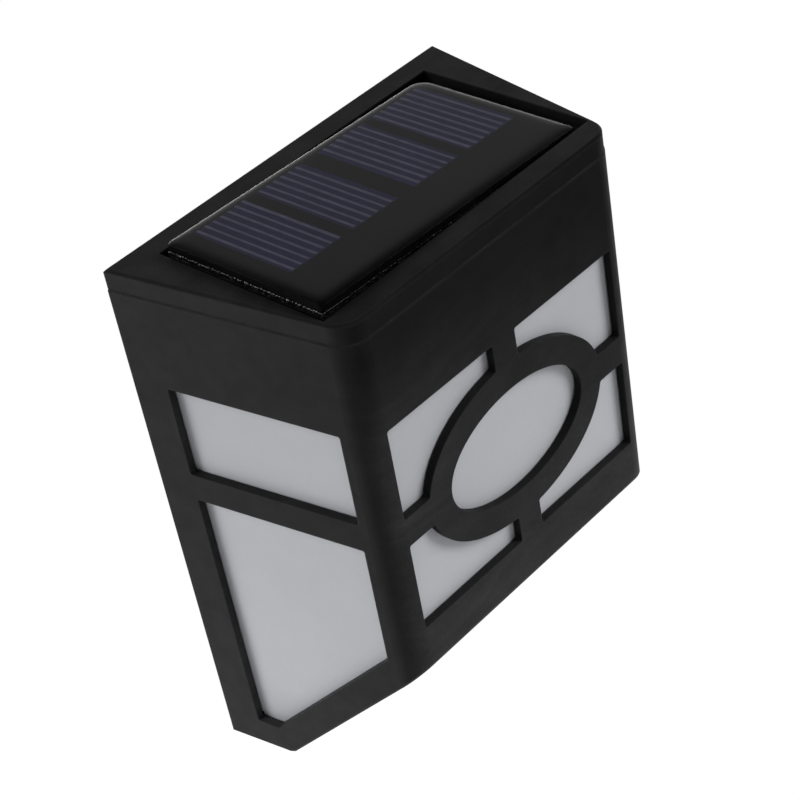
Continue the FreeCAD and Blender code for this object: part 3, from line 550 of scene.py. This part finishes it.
def make_resin(place, half):
    """The cast resin: a snapped upright side, a rounded rim, and a crown that falls off towards the rim."""
    size_along = half[0] / MM - resin_margin
    size_across = half[1] / MM - resin_margin
    corners = (cast_corner, snapped_corner, snapped_corner, snapped_corner)
    rings = []
    for inset, level in resin_side + resin_crown:
        radii = [corner + inset * corner_growth for corner in corners]
        rings.append(rounded_ring(size_along - inset, size_across - inset, radii, level))
    count = len(rings[0])
    points = [place @ (p * MM) for ring in rings for p in ring]
    faces = [quad(row, count, i) for row in range(len(rings) - 1) for i in range(count)]
    faces.append(tuple((len(rings) - 1) * count + i for i in range(count)))
    dome = add_piece("resin_dome", points, faces, FINISHES["clear_resin"], ["panel_resin"])
    # The side faces take the dark snapped_resin finish, painted shade in place of the clear resin.
    dome.data.materials.append(snapped_resin())
    for face in dome.data.polygons[:count * len(resin_side)]:
        face.material_index = 1


def around(low, high):
    """The corners of a rectangle, one after another."""
    return (low[0], low[1]), (high[0], low[1]), (high[0], high[1]), (low[0], high[1])


def bar_points(low, high):
    """The eight corners of a bar, whose upper edges are drawn in a little."""
    inset = min(high[0] - low[0], high[1] - low[1]) * finger_draw_in
    points = [Vector((x, y, low[2])) for x, y in around(low, high)]
    low, high = (low[0] + inset, low[1] + inset), (high[0] - inset, high[1] - inset, high[2])
    return points + [Vector((x, y, high[2])) for x, y in around(low, high)]


BAR_FACES = ((0, 3, 2, 1), (4, 5, 6, 7), (0, 1, 5, 4), (1, 2, 6, 5), (2, 3, 7, 6), (3, 0, 4, 7))


def add_bars(name, place, bars, finish, replaced=()):
    """A piece of many bars, each given by two of its corners in millimetres on the panel."""
    points, faces = [], []
    for start, end in bars:
        first = len(points)
        points += [place @ (p * MM) for p in bar_points(start, end)]
        faces += [tuple(first + i for i in face) for face in BAR_FACES]
    add_piece(name, points, faces, finish, replaced, smooth=False)


def make_cells(place):
    """The four cell strips, and the thin printed lines across them, each a little ragged at its ends."""
    chance = random.Random(7)
    inverse = place.inverted()
    corners = [inverse @ v.co / MM for v in frame["nodes"]["solar_cells"].data.vertices]
    front = min(c.y for c in corners) + front_trim
    back = max(c.y for c in corners)
    bottom = min(c.z for c in corners)
    top = max(c.z for c in corners)
    strips = [((left, front, bottom), (right, back, top)) for left, right in strip_spans]
    add_bars("cell_strips", place, strips, FINISHES["silicon_cell"], ["solar_cells"])
    fingers = []
    for first, last in finger_spans:
        for number in range(round((last - first) / finger_pitch) + 1):
            middle = first + number * finger_pitch
            width = finger_width * chance.uniform(*finger_share)
            start = (middle - width / 2, front + chance.uniform(*finger_start), top - finger_height)
            end = (middle + width / 2, back + chance.uniform(*finger_end), top + finger_height)
            fingers.append((start, end))
    add_bars("cell_fingers", place, fingers, finger_print())


GRAIN_FACES = ((0, 2, 4), (2, 1, 4), (1, 3, 4), (3, 0, 4), (2, 0, 5), (1, 2, 5), (3, 1, 5), (0, 3, 5))


def grain(chance, middle, size):
    """A small broken grain: six points pushed out unevenly from its middle."""
    points = []
    for axis in range(3):
        for sign in (1, -1):
            point = Vector((0, 0, 0))
            point[axis] = sign * size * chance.uniform(*grain_reach)
            point += Vector([chance.uniform(*grain_stray) * size for _ in range(3)])
            points.append(middle + point)
    return points


def make_edge_chips(place, half):
    """The crumbs along the board's snapped left end and, fewer and fewer, along its front edge."""
    chance = random.Random(21)
    long_side, short_side = (h / MM for h in half[:2])
    points, faces = [], []

    def drop(middle, size):
        first = len(points)
        points.extend(place @ (p * MM) for p in grain(chance, middle, size))
        faces.extend(tuple(first + i for i in face) for face in GRAIN_FACES)

    across = end_margin - short_side
    while across < short_side - end_margin:
        size = chance.uniform(*end_crumbs)
        drop(Vector((-long_side - end_stand_off, across, chance.gauss(*end_level))), size)
        across += size * chance.uniform(*end_gaps)
    along = -long_side
    while along < long_side:
        size = chance.uniform(*front_crumbs)
        drop(Vector((along, -short_side - front_stand_off, chance.gauss(*front_level))), size)
        along += size * chance.uniform(*front_gaps) * (1 + front_thinning * (along + long_side) / long_side)
    finish = moulding("chip_crumbs", (0.50, 0.50, 0.47, 1), grey(0.2), 0.5, 3000, 0.00003)
    add_piece("board_edge_chips", points, faces, finish, smooth=False)


def left_turn(first, second, third):
    """More than nothing where the way through three points turns to the left."""
    return (second[0] - first[0]) * (third[1] - second[1]) - (second[1] - first[1]) * (third[0] - second[0])


def outline(node, level):
    """The outermost points of a node at a height, in order round it, seen from above."""
    near = 0.01 * MM
    places = [v.co for v in frame["nodes"][node].data.vertices if abs(v.co.z - level) < near]
    points = {(round(place.x, 6), round(place.y, 6)) for place in places}
    hull = []
    for way in (sorted(points), sorted(points, reverse=True)):
        chain = []
        for point in way:
            while len(chain) > 1 and left_turn(chain[-2], chain[-1], point) <= 0:
                chain.pop()
            chain.append(point)
        hull += chain[:-1]
    return hull


def make_joint_bead():
    """The rounded lip that fills the small step where lid and case meet, on all sides but the back."""
    seam = max(v.co.z for v in frame["nodes"]["housing"].data.vertices)
    outer = [Vector((x, y, 0)) for x, y in outline("housing", seam)]
    count = len(outer)
    inward = []
    for i in range(count):
        before = (outer[i] - outer[i - 1]).normalized()
        after = (outer[(i + 1) % count] - outer[i]).normalized()
        side = (before + after).normalized()
        inward.append(Vector((-side.y, side.x, 0)) / max(mitre_limit, side.dot(after)))
    points = []
    for inset, rise in joint_profile:
        points += [p + n * inset * MM + Vector((0, 0, seam + rise * MM)) for p, n in zip(outer, inward)]
    shown = [i for i in range(count) if min(outer[i].y, outer[(i + 1) % count].y) < -MM]
    faces = [quad(row, count, i) for row in range(len(joint_profile) - 1) for i in shown]
    add_piece("joint_bead", points, faces, joint_lip())


def place_camera():
    """The camera at the photograph's angle."""
    a, e, r = (math.radians(v) for v in (camera_azimuth, camera_elevation, camera_roll))
    back = Vector((math.sin(a) * math.cos(e), -math.cos(a) * math.cos(e), math.sin(e)))
    level = Vector((math.cos(a), math.sin(a), 0))
    upright = back.cross(level)
    right = level * math.cos(r) + upright * math.sin(r)
    camera = bpy.data.cameras.new("camera")
    camera.lens = camera_lens
    camera.sensor_width = camera_film
    camera.clip_start = camera_near
    holder = bpy.data.objects.new("camera", camera)
    matrix = Matrix((right, back.cross(right), back)).transposed().to_4x4()
    matrix.translation = camera_aim + back * camera_distance
    holder.matrix_world = matrix
    bpy.context.scene.collection.objects.link(holder)
    bpy.context.scene.camera = holder


def seen_directly(tree):
    """1 for rays from the camera, or through glass or off a mirror, and 0 for the rest."""
    path = tree.nodes.new("ShaderNodeLightPath")
    total = path.outputs["Is Camera Ray"]
    for name in ("Is Glossy Ray", "Is Transmission Ray"):
        largest = tree.nodes.new("ShaderNodeMath")
        largest.operation = "MAXIMUM"
        tree.links.new(total, largest.inputs[0])
        tree.links.new(path.outputs[name], largest.inputs[1])
        total = largest.outputs[0]
    return total


def make_floor():
    """A wide pale floor, white to the camera, whose image in the case's gloss is brighter behind."""
    f = Finish("pale_floor")
    mottle = f.spread(f.noise(6, 3), 0.3, 0.7, 0.97, 1.0)
    plain = f.add("ShaderNodeBsdfDiffuse", {"Color": f.scaled(mottle, grey(floor_tone))}).outputs[0]
    depth = f.maths("SUBTRACT", f.along(1), f.along(0))
    mirrored = f.spread(depth, 0.0, mirrored_depth, mirrored_front, mirrored_back)
    level = f.blend(f.add("ShaderNodeLightPath").outputs["Is Glossy Ray"], white_level, mirrored)
    white = f.add("ShaderNodeEmission", {"Color": (1, 1, 1, 1), "Strength": level}).outputs[0]
    share = f.product(seen_directly(f.tree), white_share)
    finish = f.done(f.add("ShaderNodeMixShader", {0: share, 1: plain, 2: white}).outputs[0])
    mesh = bpy.data.meshes.new("floor")
    corners = around((-floor_reach, -floor_reach), (floor_reach, floor_reach))
    mesh.from_pydata([(x, y, floor_level) for x, y in corners], [], [(0, 1, 2, 3)])
    mesh.materials.append(finish)
    floor = bpy.data.objects.new("floor", mesh)
    bpy.context.scene.collection.objects.link(floor)


def make_world():
    """A pale studio: white round the horizon, dimmer upwards and nearly dark overhead."""
    world = bpy.data.worlds.new("studio")
    world.use_nodes = True
    tree = world.node_tree
    tree.nodes.clear()
    place = tree.nodes.new("ShaderNodeTexCoord")
    parts = tree.nodes.new("ShaderNodeSeparateXYZ")
    tree.links.new(place.outputs["Generated"], parts.inputs[0])
    fall = tree.nodes.new("ShaderNodeValToRGB")
    while len(fall.color_ramp.elements) < len(sky_levels):
        fall.color_ramp.elements.new(1.0)
    for stop, (height, level) in zip(fall.color_ramp.elements, sky_levels):
        stop.position = height
        stop.color = grey(level)
    tree.links.new(parts.outputs[2], fall.inputs[0])
    path = tree.nodes.new("ShaderNodeLightPath")
    direct = tree.nodes.new("ShaderNodeMath")
    direct.operation = "MAXIMUM"
    tree.links.new(path.outputs["Is Camera Ray"], direct.inputs[0])
    tree.links.new(path.outputs["Is Transmission Ray"], direct.inputs[1])
    level = tree.nodes.new("ShaderNodeMix")
    level.data_type = "RGBA"
    tree.links.new(direct.outputs[0], level.inputs[0])
    tree.links.new(fall.outputs[0], level.inputs[6])
    level.inputs[7].default_value = (1, 1, 1, 1)
    light = tree.nodes.new("ShaderNodeBackground")
    light.inputs["Strength"].default_value = 1.0
    tree.links.new(level.outputs[2], light.inputs["Color"])
    out = tree.nodes.new("ShaderNodeOutputWorld")
    tree.links.new(light.outputs[0], out.inputs["Surface"])
    bpy.context.scene.world = world


def add_lamp(name, place, power):
    """A square soft lamp that faces the object and is not seen itself, also not in gloss or glass."""
    lamp = bpy.data.lights.new(name, "AREA")
    lamp.size = lamp_size
    lamp.energy = power
    holder = bpy.data.objects.new(name, lamp)
    holder.location = place
    holder.rotation_euler = (-Vector(place)).to_track_quat("-Z", "Y").to_euler()
    holder.visible_camera = False
    holder.visible_glossy = False
    holder.visible_transmission = False
    bpy.context.scene.collection.objects.link(holder)


def light_the_scene():
    """The studio's pale surroundings and two large soft lamps, to the left and the right of the camera."""
    make_world()
    for name, (place, power) in lamps.items():
        add_lamp(name, place, power)


dress_cad_nodes()
panel_place, panel_half = panel_frame()
make_resin(panel_place, panel_half)
make_cells(panel_place)
make_edge_chips(panel_place, panel_half)
make_joint_bead()
make_floor()
light_the_scene()
place_camera()
bpy.context.scene.view_settings.view_transform = "Standard"
